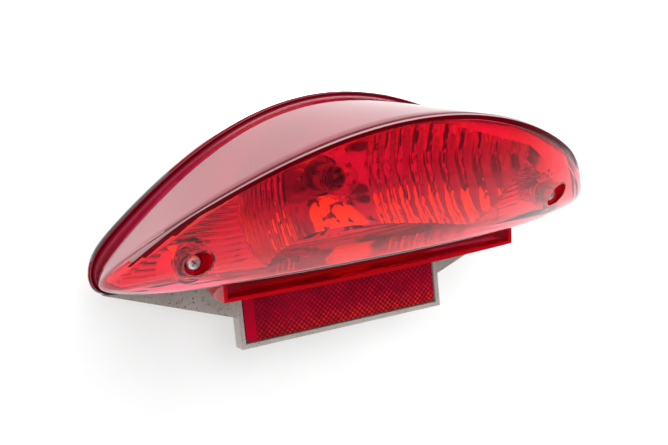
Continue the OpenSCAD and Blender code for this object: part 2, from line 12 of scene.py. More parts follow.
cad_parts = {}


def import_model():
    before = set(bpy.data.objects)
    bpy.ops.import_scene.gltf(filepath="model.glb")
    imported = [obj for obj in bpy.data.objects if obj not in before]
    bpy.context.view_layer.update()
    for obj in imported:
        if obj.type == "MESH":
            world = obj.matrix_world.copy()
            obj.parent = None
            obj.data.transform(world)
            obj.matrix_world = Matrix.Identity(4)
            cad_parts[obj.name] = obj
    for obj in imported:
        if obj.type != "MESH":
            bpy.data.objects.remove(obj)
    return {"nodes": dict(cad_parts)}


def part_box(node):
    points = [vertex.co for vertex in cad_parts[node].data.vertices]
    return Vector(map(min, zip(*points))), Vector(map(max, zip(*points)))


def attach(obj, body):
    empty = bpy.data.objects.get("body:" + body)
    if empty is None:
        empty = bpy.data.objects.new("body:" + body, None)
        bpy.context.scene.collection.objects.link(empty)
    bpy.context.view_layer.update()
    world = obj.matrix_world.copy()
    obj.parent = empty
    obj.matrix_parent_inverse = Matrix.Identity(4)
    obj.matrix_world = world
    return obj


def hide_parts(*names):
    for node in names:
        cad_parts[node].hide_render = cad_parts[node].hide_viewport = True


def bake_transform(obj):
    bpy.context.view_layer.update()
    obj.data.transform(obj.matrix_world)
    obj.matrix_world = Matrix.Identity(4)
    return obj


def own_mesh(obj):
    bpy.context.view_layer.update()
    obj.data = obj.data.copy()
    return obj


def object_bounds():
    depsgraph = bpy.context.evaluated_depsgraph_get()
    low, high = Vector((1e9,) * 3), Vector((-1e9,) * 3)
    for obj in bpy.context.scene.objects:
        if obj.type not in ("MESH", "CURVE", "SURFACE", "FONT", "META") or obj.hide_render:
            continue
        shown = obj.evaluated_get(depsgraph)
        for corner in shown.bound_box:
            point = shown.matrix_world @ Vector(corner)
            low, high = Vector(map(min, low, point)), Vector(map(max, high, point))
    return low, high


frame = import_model()
cad_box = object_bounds()
MM = 0.001

# ---------------------------------------------------------------- driving dimensions, in millimetres
# Depths are measured from the parting plane under the lens, which is PARTING in front of the mounting plane.
# RIM is the outline in that plane, RIDGE the upper edge of the face and EDGE its lower one. REACH and TOP are
# for the middle of the lamp, and SWEEP and DROP say how far that line moves back and down by the tips.
RIM_HALF_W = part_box("reflector")[1].x / MM
FACE_HALF_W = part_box("lens")[1].x / MM
RIM_TOP = 47.0
RIM_DROP = 63.5
RIM_BOTTOM = -39.0
RIM_RISE = 1.8
PARTING = -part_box("lens")[1].y / MM
RIDGE_REACH = -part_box("lens")[0].y / MM - PARTING
RIDGE_SWEEP = 64.0
RIDGE_TOP = 39.6
RIDGE_DROP = 56.5
EDGE_REACH = 65.4
EDGE_SWEEP = 46.6
EDGE_Z = -30.4
EDGE_DROP = 4.1
FACE_BULGE = 7.0
WALL = 2.5
CORNER_R, CORNER_R_TIP = 1.7, 8.0
INNER_CORNER_R, INNER_CORNER_R_TIP = 1.2, 5.0
ROOT_FILLET = 1.4
FLANGE_W = 2.6
FLANGE_T = 2.6
FLANGE_EDGE_R = 0.45
RIM_SHOW = 0.8
GASKET_T = 0.8
REFLECTOR_T = 1.6
SCREW_X = 100.0
SCREW_Z = -16.9
HEAD_SEAT = 55.3
SEAT_T = 2.4
RECESS_R = 6.2
RECESS_WALL = 1.8
SCREW_HOLE_R = 2.25
EDGE_BAND_W = 2.9
BEAD_FADE_FROM = 0.7
CHAMFER_DOWN = 0.9
CHAMFER_BACK = 1.8
GROOVE_W = 2.0
GROOVE_DEPTH = 0.3
STRIPE = 3.7
BULB_Z = 3.0
BOWL_BACK = 9.5
BOWL_FOCUS = 21.0
SHARP_ANGLE = 35  # degrees between faces, above which an edge is shown sharp
NEAR_AXIS = 0.0001  # radius at which a turned profile is closed


def bow(u, share):
    """0 in the middle and 1 at the tips."""
    return share * u**2 + (1 - share) * u**4


def smooth(k):
    """Eases from 0 to 1 as k goes from 0 to 1."""
    k = np.clip(k, 0, 1)
    return k * k * (3 - 2 * k)


def tip(u, power, blunt=0.1):
    """1 along the lamp, closing to a blunt end at the tips."""
    return np.maximum(blunt, np.sqrt(np.maximum(0, 1 - np.abs(u) ** power)))


def pillow(v, pitch):
    """A row of rounded ribs: 0 in the grooves and 1 on the crests."""
    f = v / pitch - np.floor(v / pitch)
    return 1 - (2 * f - 1) ** 2


def stack(x, y, z):
    """Points from coordinates that broadcast together."""
    return np.stack(np.broadcast_arrays(x, y, z), -1)


def face_point(u, t, wall=0.0):
    """A point of the lens's face; wall moves it in from the outer skin."""
    ridge_y = -RIDGE_REACH + RIDGE_SWEEP * bow(u, 0.66) + 1.3 * wall
    ridge_z = RIDGE_TOP - RIDGE_DROP * bow(u, 0.97) - wall
    edge_y = -EDGE_REACH + EDGE_SWEEP * bow(u, 0.85) + 0.9 * wall
    edge_z = EDGE_Z - EDGE_DROP * bow(u, 1.35) + wall
    close = tip(u, 16)
    bulge = FACE_BULGE * close * (1 - t**2)
    y = (ridge_y + edge_y) / 2 + t * close * (ridge_y - edge_y) / 2 - 0.88 * bulge
    z = (ridge_z + edge_z) / 2 + t * close * (ridge_z - edge_z) / 2 - 0.47 * bulge
    return stack((FACE_HALF_W - 1.2 * wall) * u, y, z)


def rim_point(u, t, inset, y):
    """A point of the rim's outline in the plane y, moved in by inset."""
    top = RIM_TOP - RIM_DROP * bow(u, 1.1) - inset
    low = RIM_BOTTOM + RIM_RISE * bow(u, 1) + inset
    half = np.maximum(3.0, (top - low) / 2)
    return stack((RIM_HALF_W - inset) * u, y, (top + low) / 2 + t * tip(u, 40) * half)


# ---------------------------------------------------------------- mesh helpers
# Zones of the lens's faces, one material slot each. The hood, dark-line and reflection zones paint shade,
# dark lines and a reflection for camera rays.
FACE_ZONE, HOOD_PAINTED_SHADE_ZONE, PAINTED_DARK_LINE_ZONE, LEDGE_ZONE, PAINTED_REFLECTION_ZONE = range(5)


def new_piece(name, verts, faces, smooth_angle=SHARP_ANGLE, zones=None):
    """A mesh object from points in millimetres. Zones are the material slots of its faces."""
    mesh = bpy.data.meshes.new(name)
    mesh.from_pydata([tuple(v) for v in (np.asarray(verts) - (0, PARTING, 0)) * MM], [], faces)
    if zones is not None:
        add_zones(mesh, zones)
    mesh.validate()
    finish_normals(mesh, smooth_angle)
    obj = bpy.data.objects.new(name, mesh)
    bpy.context.scene.collection.objects.link(obj)
    return obj


def add_zones(mesh, zones):
    """Gives the mesh one material slot per zone, and each face its zone's slot."""
    for look in ZONE_LOOKS:
        mesh.materials.append(look)
    slots = np.broadcast_to(zones, len(mesh.polygons)).astype(np.int32).copy()
    mesh.polygons.foreach_set("material_index", slots)


def finish_normals(mesh, smooth_angle):
    """Outward normals, and smooth shading except at edges sharper than the angle."""
    bm = bmesh.new()
    bm.from_mesh(mesh)
    bmesh.ops.recalc_face_normals(bm, faces=bm.faces)
    bm.to_mesh(mesh)
    bm.free()
    mesh.shade_smooth()
    mesh.set_sharp_from_angle(angle=math.radians(smooth_angle))


def perimeter(columns, rows):
    """The points round a grid's edge: along the top, down the right, back along the bottom, up the left."""
    top = [(i, rows) for i in range(columns + 1)]
    right = [(columns, j) for j in range(rows - 1, 0, -1)]
    bottom = [(i, 0) for i in range(columns, -1, -1)]
    left = [(0, j) for j in range(1, rows)]
    return top + right + bottom + left


def as_indices(cells):
    """The columns and the rows of grid points, each as one array."""
    return np.array([i for i, _ in cells]), np.array([j for _, j in cells])


def stand_in(piece, body, node):
    """Shows a piece in place of a CAD node, on that node's body."""
    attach(piece, body)
    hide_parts(node)
    return piece


def band(a, b):
    """Faces between two closed loops of as many points."""
    n = len(a)
    return [(a[k], a[(k + 1) % n], b[(k + 1) % n], b[k]) for k in range(n)]


def apply_modifiers(obj):
    """Puts the result of an object's modifiers in its mesh."""
    dg = bpy.context.evaluated_depsgraph_get()
    old, obj.data = obj.data, bpy.data.meshes.new_from_object(obj.evaluated_get(dg))
    obj.modifiers.clear()
    bpy.data.meshes.remove(old)


def boolean(obj, other, operation):
    """Applies a boolean with another object, and removes that one."""
    mod = obj.modifiers.new("cut", "BOOLEAN")
    mod.operation = operation
    mod.solver = "EXACT"
    mod.object = other
    apply_modifiers(obj)
    bpy.data.objects.remove(other)


def lathe(name, profile, centre, steps=96, zones=None):
    """Turns a closed profile of (radius, y) about an axis along Y through a centre (x, z), in millimetres."""
    verts, faces = [], []
    n = len(profile)
    for s in range(steps):
        a = 2 * math.pi * s / steps
        for r, d in profile:
            verts.append([r * math.cos(a) + centre[0], d, r * math.sin(a) + centre[1]])
    for s in range(steps):
        m = (s + 1) % steps
        for k in range(n):
            j = (k + 1) % n
            faces.append((s * n + k, m * n + k, m * n + j, s * n + j))
    obj = new_piece(name, verts, faces, zones=zones)
    bm = bmesh.new()
    bm.from_mesh(obj.data)
    bmesh.ops.remove_doubles(bm, verts=bm.verts, dist=1e-7)
    bmesh.ops.dissolve_degenerate(bm, edges=bm.edges, dist=1e-7)
    bm.to_mesh(obj.data)
    bm.free()
    finish_normals(obj.data, SHARP_ANGLE)
    return obj


# ---------------------------------------------------------------- lens
def bezier(a, control, b, steps):
    """Loops along a rounded corner from a to b, without a itself."""
    out = []
    for k in range(1, steps + 1):
        s = k / steps
        out.append((1 - s) ** 2 * a + 2 * s * (1 - s) * control + s**2 * b)
    return out


def face_height(u):
    """Half of the face's height at u, from edge to ridge."""
    d = face_point(u, np.ones_like(u)) - face_point(u, -np.ones_like(u))
    return np.linalg.norm(d, axis=-1) / 2


# Each band of faces of the outer skin, from the face to the flange: its zone away from the bead, its zone
# along the bead, and how much of the bead's shape it takes before the second one applies. The dark-line zone
# paints shade along the bead's corners, its groove and the flange, the reflection zone a painted reflection
# on the bead's bevel, and the hood zone painted shade under the hood's gloss.
ZONE_BANDS = (
    (FACE_ZONE, PAINTED_DARK_LINE_ZONE, 0.45),
    (FACE_ZONE, PAINTED_DARK_LINE_ZONE, 0.12),
    (FACE_ZONE, PAINTED_DARK_LINE_ZONE, 0.02),
    *[(FACE_ZONE, PAINTED_REFLECTION_ZONE, 0.06)] * 3,
    (HOOD_PAINTED_SHADE_ZONE, PAINTED_DARK_LINE_ZONE, 0.3),
    *[(HOOD_PAINTED_SHADE_ZONE, PAINTED_DARK_LINE_ZONE, 0.5)] * 6,
    *[(HOOD_PAINTED_SHADE_ZONE, HOOD_PAINTED_SHADE_ZONE, 0.5)] * 15,
    *[(PAINTED_DARK_LINE_ZONE, PAINTED_DARK_LINE_ZONE, 0.5)] * 5,
)


def skin(wall, corner, tip_corner, columns=132, rows=84):
    """One skin of the lens: the face's grid, the points round its edge, the loops from there over the rounded
    edge or bead and up the hood to its root, and the zone of each face. The outer skin, which has no wall in
    front of it, also has the bead along the ridge, the fillet at the root and the flange."""
    a = np.sin(np.linspace(-math.pi / 2, math.pi / 2, columns + 1))
    b = np.linspace(-1, 1, rows + 1)
    softer = smooth((np.abs(a) - BEAD_FADE_FROM) / (1 - BEAD_FADE_FROM))
    radius = corner + (tip_corner - corner) * softer
    shrink_u = 1 - tip_corner * 0.8 / FACE_HALF_W
    height = face_height(a * shrink_u)
    outer = wall == 0
    beading = 1 - smooth((np.abs(a) - BEAD_FADE_FROM) / 0.28) if outer else 0 * a
    top_t = 1 - np.maximum(radius, EDGE_BAND_W * beading) / height
    low_t = 1 - radius / height
    share = (b[None, :] + 1) / 2
    grid = face_point((a * shrink_u)[:, None], -low_t[:, None] * (1 - share) + top_t[:, None] * share, wall)
    cells = perimeter(columns, rows)
    ia, jb = as_indices(cells)
    u, t = a[ia], b[jb]
    corner_loop = face_point(u, t, wall)
    root_inset = RIM_SHOW + FLANGE_W + wall
    root = rim_point(u, t, root_inset, -FLANGE_T if outer else 0.0)
    length = np.linalg.norm(root - corner_loop, axis=-1)
    beaded = ((jb == rows) * beading[ia])[:, None]
    start = corner_loop + (root - corner_loop) * ((radius[ia] / length)[:, None])
    edge = grid[ia, jb]
    plain, bead = bezier(edge, corner_loop, start, 9), chamfer(edge, corner_loop, root)
    loops = [p * (1 - beaded) + q * beaded for p, q in zip(plain, bead)]
    start = loops[-1]
    fillet = ROOT_FILLET if outer else 0.0
    end = root + (corner_loop - root) * (fillet / length)[:, None]
    if outer:
        groove = start + (end - start) * (GROOVE_W / length)[:, None]
        down = (0, 0, -GROOVE_DEPTH) * beaded
        sag = [math.sin(math.pi * k / 4) for k in range(1, 5)]
        loops += [start + (groove - start) * k / 4 + down * depth for k, depth in enumerate(sag, 1)]
        start = groove
    loops += [start + (end - start) * k / 10 for k in range(1, 11)]
    zones = [np.full(columns * rows, FACE_ZONE)]
    if outer:
        loops += bezier(end, root, rim_point(u, t, root_inset - fillet, -FLANGE_T), 5)
        shoulder = rim_point(u, t, RIM_SHOW + FLANGE_EDGE_R, -FLANGE_T)
        brink = rim_point(u, t, RIM_SHOW, -FLANGE_T + FLANGE_EDGE_R)
        loops += [shoulder, *bezier(shoulder, rim_point(u, t, RIM_SHOW, -FLANGE_T), brink, 3)]
        loops += [rim_point(u, t, RIM_SHOW, 0.0)]
        for without, along_bead, bead_share in ZONE_BANDS:
            zones.append(np.where(beaded[:, 0] > bead_share, along_bead, without))
    else:
        zones += [np.full(len(cells), FACE_ZONE)] * len(loops)
    return grid, cells, loops, np.concatenate(zones)


def unit(v):
    return v / np.maximum(1e-6, np.linalg.norm(v, axis=-1, keepdims=True))


def chamfer(edge, corner, root):
    """Loops from the face to the hood that turn over a sharp-edged strip along the ridge."""
    down, back = unit(edge - corner), unit(root - corner)
    low, high = corner + down * CHAMFER_DOWN, corner + back * CHAMFER_BACK
    low_in, low_out = edge + (low - edge) * 0.88, low + (high - low) * 0.15
    high_in, high_out = low + (high - low) * 0.66, high + back * 0.25
    loops = [edge + (low_in - edge) * 0.5, low_in, *bezier(low_in, low, low_out, 2)]
    loops += [(low_out + high_in) / 2, high_in, *bezier(high_in, high, high_out, 2), high_out + back * 0.1]
    return loops


def grid_faces(index, turned=False):
    """Faces of a grid of point indices, turned over if asked."""
    faces = []
    for here, beyond in zip(index, index[1:]):
        for j in range(len(here) - 1):
            face = (here[j], beyond[j], beyond[j + 1], here[j + 1])
            faces.append((face[0], face[3], face[2], face[1]) if turned else face)
    return faces


def skin_mesh(grid, cells, loops, first):
    """Vertices and faces of one skin, with the indices of its last loop."""
    index = (first + np.arange(grid.shape[0] * grid.shape[1])).reshape(grid.shape[:2]).tolist()
    faces = grid_faces(index)
    n, after_grid = len(cells), first + grid.shape[0] * grid.shape[1]
    previous = [index[i][j] for i, j in cells]
    for k in range(len(loops)):
        loop = list(range(after_grid + k * n, after_grid + (k + 1) * n))
        faces += band(previous, loop)
        previous = loop
    return np.concatenate([grid.reshape(-1, 3), *loops]), faces, previous


def lens_shell():
    """The lens's outer and inner skins, joined at the rim."""
    *outer, outer_zones = skin(0.0, CORNER_R, CORNER_R_TIP)
    *inner, inner_zones = skin(WALL, INNER_CORNER_R, INNER_CORNER_R_TIP)
    verts_a, faces_a, last_a = skin_mesh(*outer, 0)
    verts_b, faces_b, last_b = skin_mesh(*inner, len(verts_a))
    # The rim band between the skins takes the painted dark line too.
    rim = band(last_a, last_b)
    zones = np.concatenate([outer_zones, inner_zones, np.full(len(rim), PAINTED_DARK_LINE_ZONE)])
    verts, faces = np.concatenate([verts_a, verts_b]), faces_a + faces_b + rim
    return new_piece("tail_light_lens", verts, faces, zones=zones)


def envelope(wall=0.7):
    """A closed solid just inside the lens's outer skin."""
    verts, faces, last = skin_mesh(*skin(wall, 1.5, 7.0)[:3], 0)
    return new_piece("envelope", verts, faces + [tuple(last)], zones=LEDGE_ZONE)


def rod(name, x, z, y0, y1, r, steps=72, r0=None, zones=None):
    """A round rod along Y, of radius r0 at y0 and r at y1."""
    r0 = r if r0 is None else r0
    profile = [(NEAR_AXIS, y0), (r0, y0), (r, y1), (NEAR_AXIS, y1)]
    return lathe(name, profile, (x, z), steps, zones)


def add_screw_cups(lens):
    """Both screw recesses: a tapered cup inside the face, its bore, and the hole for the shank."""
    before_face, seat, under_seat = -95, -HEAD_SEAT, -HEAD_SEAT + SEAT_T
    outside = RECESS_R + RECESS_WALL
    for side in (-1, 1):
        at = (side * SCREW_X, SCREW_Z)
        cup = rod("cup", *at, before_face, under_seat, outside - 0.3, r0=outside + 1.2, zones=FACE_ZONE)
        boolean(cup, envelope(), "INTERSECT")
        boolean(lens, cup, "UNION")
        bore = rod("bore", *at, before_face, seat, RECESS_R - 0.35, r0=RECESS_R + 1.4, zones=LEDGE_ZONE)
        boolean(lens, bore, "DIFFERENCE")
        hole = rod("hole", *at, seat - 1, under_seat + 1, SCREW_HOLE_R, 40, zones=LEDGE_ZONE)
        boolean(lens, hole, "DIFFERENCE")


LEDGE_HALF_W = 82.65
LEDGE_Z = -42.0
LEDGE_T = 1.8
LEDGE_REACH = 49.8
LEDGE_ENDS = 8.6
LEDGE_BACK = -31.0
LEDGE_TOP = -32.0
PLATE_OUTLINE = ((-23, -33), (-23, -38.4), (-26, -39.9), (-29.5, -41.2), (-33.5, -41.97), (-43.6, -41.97),
                 (-44.2, -41.6), (-45.2, -32.4))


def extrude_x(name, outline, x0, x1):
    """A plate with a (y, z) outline, from x0 to x1."""
    n = len(outline)
    verts = [(x, y, z) for x in (x0, x1) for y, z in outline]
    faces = [tuple(range(n)), tuple(range(2 * n - 1, n - 1, -1))]
    faces += [(k, (k + 1) % n, n + (k + 1) % n, n + k) for k in range(n)]
    return new_piece(name, verts, faces, zones=LEDGE_ZONE)


def ledge():
    """The open channel under the face, with its bowed lip and two end plates."""
    verts, faces = [], []
    steps = 40
    front_wall, upper_floor = LEDGE_BACK - LEDGE_T, LEDGE_Z + LEDGE_T
    for k in range(steps + 1):
        x = LEDGE_HALF_W * (2 * k / steps - 1)
        lip = -LEDGE_REACH + LEDGE_ENDS * (x / 100) ** 2
        section = [
            (lip, LEDGE_Z), (lip, upper_floor), (front_wall - 1, upper_floor), (front_wall, upper_floor + 1),
            (front_wall, LEDGE_TOP), (LEDGE_BACK, LEDGE_TOP), (LEDGE_BACK, LEDGE_Z),
        ]
        verts += [(x, y, z) for y, z in section]
    n = len(section)
    for k in range(steps):
        here, beyond = k * n, (k + 1) * n
        faces += [(here + m, beyond + m, beyond + (m + 1) % n, here + (m + 1) % n) for m in range(n)]
    faces += [tuple(range(n)), tuple(range(steps * n + n - 1, steps * n - 1, -1))]
    channel = new_piece("ledge", verts, faces, zones=LEDGE_ZONE)
    for side in (-1, 1):
        plate = extrude_x("plate", PLATE_OUTLINE, side * (LEDGE_HALF_W - 2.0), side * (LEDGE_HALF_W + 0.02))
        boolean(channel, plate, "UNION")
    bevel = channel.modifiers.new("soft edges", "BEVEL")
    bevel.width = 0.3 * MM
    bevel.segments = 2
    bevel.limit_method = "ANGLE"
    bevel.angle_limit = math.radians(40)
    apply_modifiers(channel)
    return channel


def build_lens():
    """The whole lens moulding: shell, screw recesses and ledge."""
    lens = lens_shell()
    add_screw_cups(lens)
    boolean(lens, ledge(), "UNION")
    finish_normals(lens.data, 32)
    return stand_in(lens, "lens_cover", "lens")


# ---------------------------------------------------------------- reflector
WING_GAP = 16.0
RIM_FLAT = 8.5
RIM_FLAT_TIP = 6.0
MIRROR_INSET = 10.5
MIRROR_INSET_TIP = 6.7
MIRROR_LIFT = 1.4
FLUTE_FROM = 24.0
FLUTE = 5.4
FLUTE_DEPTH = 1.5
STRIPE_DEPTH = 0.75
NECK_R = 11.5
CUP_HOLE_R = 5.8
CUP_PAD_R = 8.6


def mirror_y(x, z):
    """Depth of the mirror: a fluted bowl round the bulb, sunk between two ribbed wings."""
    bowl = BOWL_BACK - (x**2 + (z - BULB_Z) ** 2) / (4 * BOWL_FOCUS)
    u = x / FACE_HALF_W
    top, low = face_point(u, np.ones_like(u)), face_point(u, -np.ones_like(u))
    k = (z - low[..., 2]) / (top[..., 2] - low[..., 2])
    wing = low[..., 1] + (top[..., 1] - low[..., 1]) * k - 3.5 * FACE_BULGE * k * (1 - k) + WING_GAP
    ax = np.abs(x)
    wobble = 0.28 * np.sin(0.27 * z + 0.7 * np.sin(0.5 * x)) + 0.12 * np.sin(0.8 * z + x)
    fluted = smooth((ax - FLUTE_FROM) / 6)
    bowl = bowl - FLUTE_DEPTH * fluted * pillow(ax - FLUTE_FROM + wobble, FLUTE)
    ripple = 0.5 * np.sin(0.21 * x)
    panel = smooth((x - 76) / 2) * smooth((103 - x) / 1.0) * smooth((z - 8.5 + (x - 72.7) * 0.66) / 1.5)
    wing = wing - STRIPE_DEPTH * (1 - panel) * pillow(z + ripple, STRIPE) - 1.2 * panel
    mirror = np.maximum(bowl, wing)
    collar = smooth((CUP_PAD_R + 4 - np.hypot(ax - SCREW_X, z - SCREW_Z)) / 4.5)
    return mirror + (-HEAD_SEAT + SEAT_T + 0.6 - mirror) * collar


def toward_tip(u, middle, tip_value):
    """A width that goes from its value in the middle to its value near the tips."""
    return middle + (tip_value - middle) * smooth(np.abs(u) / 0.75)


def mirror_grid(extra, share, y0, columns, rows):
    """A grid over the mirror, inset by extra and narrowed by share, y0 behind the parting plane."""
    u = np.linspace(-1, 1, columns + 1)
    u = 0.35 * np.sin(u * math.pi / 2) + 0.65 * u
    t = np.linspace(-1, 1, rows + 1)
    inset = toward_tip(u, MIRROR_INSET, MIRROR_INSET_TIP) + extra
    grid = rim_point(share * u[:, None], t[None, :], inset[:, None], 0.0)
    grid[..., 2] += MIRROR_LIFT * (1 - t) / 2
    grid[..., 1] = y0 + mirror_y(grid[..., 0], grid[..., 2])
    return u, t, grid


def build_reflector():
    """The mirror's front and back, joined round a skirt and the flat rim, with holes for bulb and screws."""
    columns, rows = 360, 110
    back_y = GASKET_T + REFLECTOR_T
    u, t, front = mirror_grid(0, 0.985, GASKET_T, columns, rows)
    _, _, back = mirror_grid(REFLECTOR_T, 0.965, back_y, columns, rows)
    cells = perimeter(columns, rows)
    ia, jb = as_indices(cells)
    ends = u[ia], t[jb]
    edge = front[ia, jb]
    flat = toward_tip(ends[0], RIM_FLAT, RIM_FLAT_TIP)
    foot = rim_point(*ends, flat, GASKET_T)
    knee = foot + (edge - foot) * 0.04
    lip = edge + (foot - edge) * 0.04
    loops = bezier(edge - (edge - edge.mean(0)) * 0.004, edge, lip, 2) + [knee]
    loops += bezier(knee, foot, rim_point(*ends, flat - 1.0, GASKET_T), 3)
    outline = ((0.3, GASKET_T), (0.0, GASKET_T + 0.3), (0.0, back_y), (flat + REFLECTOR_T, back_y))
    loops += [rim_point(*ends, inset, y) for inset, y in outline]
    verts, faces, last = skin_mesh(front, cells, loops, 0)
    index = (len(verts) + np.arange(back[..., 0].size)).reshape(back.shape[:2]).tolist()
    faces += grid_faces(index, turned=True)
    faces += band(last, [index[i][j] for i, j in cells])
    mirror = new_piece("reflector_bowl", np.concatenate([verts, back.reshape(-1, 3)]), faces)
    boolean(mirror, rod("neck", 0, BULB_Z, -20, 30, NECK_R), "DIFFERENCE")
    for side in (-1, 1):
        boolean(mirror, rod("cup_hole", side * SCREW_X, SCREW_Z, -90, 30, CUP_HOLE_R), "DIFFERENCE")
    finish_normals(mirror.data, 40)
    return stand_in(mirror, "base", "reflector")


# ---------------------------------------------------------------- screws, spring and filaments
HEAD_R = 3.5
HEAD_H = 2.6
HEAD_EDGE = 0.7
CROSS_L = 4.2
CROSS_W = 1.0
CROSS_DEPTH = 1.7
THREAD_R = 1.95
THREAD_CORE = 1.45
THREAD_PITCH = 1.4
SCREW_LENGTH = 22.0
SCREW_POINT = 3.0


def ringed(name, verts, sides):
    """A closed solid from rings of points, one ring after another."""
    rings = [list(range(k, k + sides)) for k in range(0, len(verts), sides)]
    faces = [face for a, b in zip(rings, rings[1:]) for face in band(a, b)]
    return new_piece(name, verts, faces + [tuple(rings[0]), tuple(rings[-1])])


def tube(name, path, r, sides=10):
    """A round wire of radius r along a path of points, closed at both ends."""
    path = np.asarray(path, float)
    along_path = np.gradient(path, axis=0)
    along_path /= np.linalg.norm(along_path, axis=1, keepdims=True)
    normal = np.cross(along_path[0], (0.3, 0.2, 0.93))
    turns = [2 * math.pi * k / sides for k in range(sides)]
    verts = []
    for point, tangent in zip(path, along_path):
        normal = normal - tangent * (normal @ tangent)
        normal /= np.linalg.norm(normal)
        side = np.cross(tangent, normal)
        verts += [point + r * (math.cos(a) * normal + math.sin(a) * side) for a in turns]
    return ringed(name, verts, sides)


def thread(x, steps=36, rows_per_turn=8):
    """The screw's shank, with a tapping thread that fades into its point."""
    rows = int(SCREW_LENGTH / THREAD_PITCH * rows_per_turn)
    verts = []
    for k in range(rows + 1):
        d = SCREW_LENGTH * k / rows
        narrowed = max(0.12, math.sqrt(min(1, (SCREW_LENGTH - d) / SCREW_POINT)))
        cut = smooth((d - 1.2) / 1.5)
        for m in range(steps):
            f = (d / THREAD_PITCH - m / steps) % 1
            crest = max(0, 1 - abs(2 * f - 1) * 2.2)
            r = narrowed * (THREAD_CORE + (THREAD_R - THREAD_CORE) * (crest * cut + 0.5 * (1 - cut)))
            a = 2 * math.pi * m / steps
            verts.append((x + r * math.cos(a), -HEAD_SEAT - 0.4 + d, SCREW_Z + r * math.sin(a)))
    return ringed("thread", verts, steps)


def build_screw(side, x):
    """A pan head with a cross recess, on a threaded shank."""
    dome = [(HEAD_R * math.cos(a), -HEAD_SEAT - HEAD_EDGE - (HEAD_H - HEAD_EDGE) * math.sin(a))
            for a in (math.radians(90 * k / 12) for k in range(12))]
    profile = [(NEAR_AXIS, -HEAD_SEAT), (HEAD_R - 0.2, -HEAD_SEAT), (HEAD_R, -HEAD_SEAT - 0.2), *dome,
               (NEAR_AXIS, -HEAD_SEAT - HEAD_H)]
    screw = lathe(side + "_cross_head_screw", profile, (x, SCREW_Z), 64)
    for turn in (45, 135):
        c, n = math.cos(math.radians(turn)), math.sin(math.radians(turn))
        front, deep = -HEAD_SEAT - HEAD_H - 0.5, -HEAD_SEAT - HEAD_H + CROSS_DEPTH
        verts = [
            (x + p * c * k - q * n * k, y, SCREW_Z + p * n * k + q * c * k)
            for y, k in ((front, 1.0), (deep, 0.55))
            for p, q in ((-CROSS_L / 2, -CROSS_W / 2), (CROSS_L / 2, -CROSS_W / 2),
                         (CROSS_L / 2, CROSS_W / 2), (-CROSS_L / 2, CROSS_W / 2))
        ]
        faces = [(0, 1, 2, 3), (7, 6, 5, 4), (0, 4, 5, 1), (1, 5, 6, 2), (2, 6, 7, 3), (3, 7, 4, 0)]
        boolean(screw, new_piece("cross", verts, faces), "DIFFERENCE")
    boolean(screw, thread(x), "UNION")
    finish_normals(screw.data, 40)
    return stand_in(screw, side + "_screw", side + "_lens_screw")


def build_spring():
    """The coil spring behind the contact plate, with closed end coils."""
    low, high = (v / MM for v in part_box("contact_spring"))
    wire_r, turns, per_turn = 0.4, 5.0, 28
    coil_r = high.x - wire_r
    y0, y1 = low.y + PARTING, high.y + PARTING
    path = []
    for k in range(int(turns * per_turn) + 1):
        s = k / (turns * per_turn)
        open_share = smooth((s - 0.16) / 0.68) * 0.75 + 0.25 * s
        a = 2 * math.pi * turns * s
        y = y0 + wire_r + (y1 - y0 - 2 * wire_r) * open_share
        path.append((coil_r * math.cos(a), y, BULB_Z + coil_r * math.sin(a)))
    piece = stand_in(tube("wound_contact_spring", path, wire_r, 12), "base", "contact_spring")
    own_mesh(piece)
    return piece


def build_filament(node, coil_r, wire_r, turns):
    """A fine coil of wire that bows forward between its two supports."""
    low, high = (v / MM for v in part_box(node))
    y, z = (low.y + high.y) / 2 + PARTING, (low.z + high.z) / 2
    steps = turns * 14
    path = []
    for k in range(steps + 1):
        s = k / steps
        a = 2 * math.pi * turns * s
        bowed = y - 0.9 * math.sin(math.pi * s)
        path.append((low.x + (high.x - low.x) * s, bowed + coil_r * math.cos(a), z + coil_r * math.sin(a)))
    return stand_in(tube("coiled_" + node, path, wire_r, 6), "bulb", node)


def build_lead(node, bend_r=3.5):
    """An insulated lead, soldered to its contact stud, that runs back from it and turns through a bend."""
    low, high = (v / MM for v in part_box(node))
    z = (low.z + high.z) / 2
    r = (high.z - low.z) / 2
    first_y, lead_y, x = low.y + PARTING, high.y + PARTING - r, low.x + r
    path = [(x, first_y + (lead_y - bend_r - first_y) * k / 16, z) for k in range(16)]
    for k in range(13):
        a = math.radians(90 * k / 12)
        path.append((x + bend_r * (1 - math.cos(a)), lead_y - bend_r * (1 - math.sin(a)), z))
    run = high.x - x - bend_r
    path += [(x + bend_r + run * k / 40, lead_y, z) for k in range(1, 41)]
    piece = tube("soldered_" + node, path, r, 16)
    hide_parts(node)
    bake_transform(piece)
    return piece


# ---------------------------------------------------------------- materials
ACRYLIC_IOR = 1.49
PRISM = 2.05
PLAIN_STRIP = 6
REFLEX_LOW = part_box("reflex_lens")[0].z / MM
REFLEX_HALF_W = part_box("reflex_lens")[1].x / MM


def node_tree(name):
    """A new material with an empty node tree."""
    mat = bpy.data.materials.new(name)
    mat.use_nodes = True
    nt = mat.node_tree
    nt.nodes.clear()
    return mat, nt


def add(nt, kind, **inputs):
    """A new node with its inputs set by name, an underscore standing for a space."""
    node = nt.nodes.new(kind)
    for key, value in inputs.items():
        node.inputs[key.replace("_", " ")].default_value = value
    return node


def object_coords(nt, scale):
    coords = nt.nodes.new("ShaderNodeTexCoord")
    mapping = nt.nodes.new("ShaderNodeMapping")
    mapping.inputs["Scale"].default_value = scale
    nt.links.new(coords.outputs["Object"], mapping.inputs["Vector"])
    return mapping.outputs["Vector"]


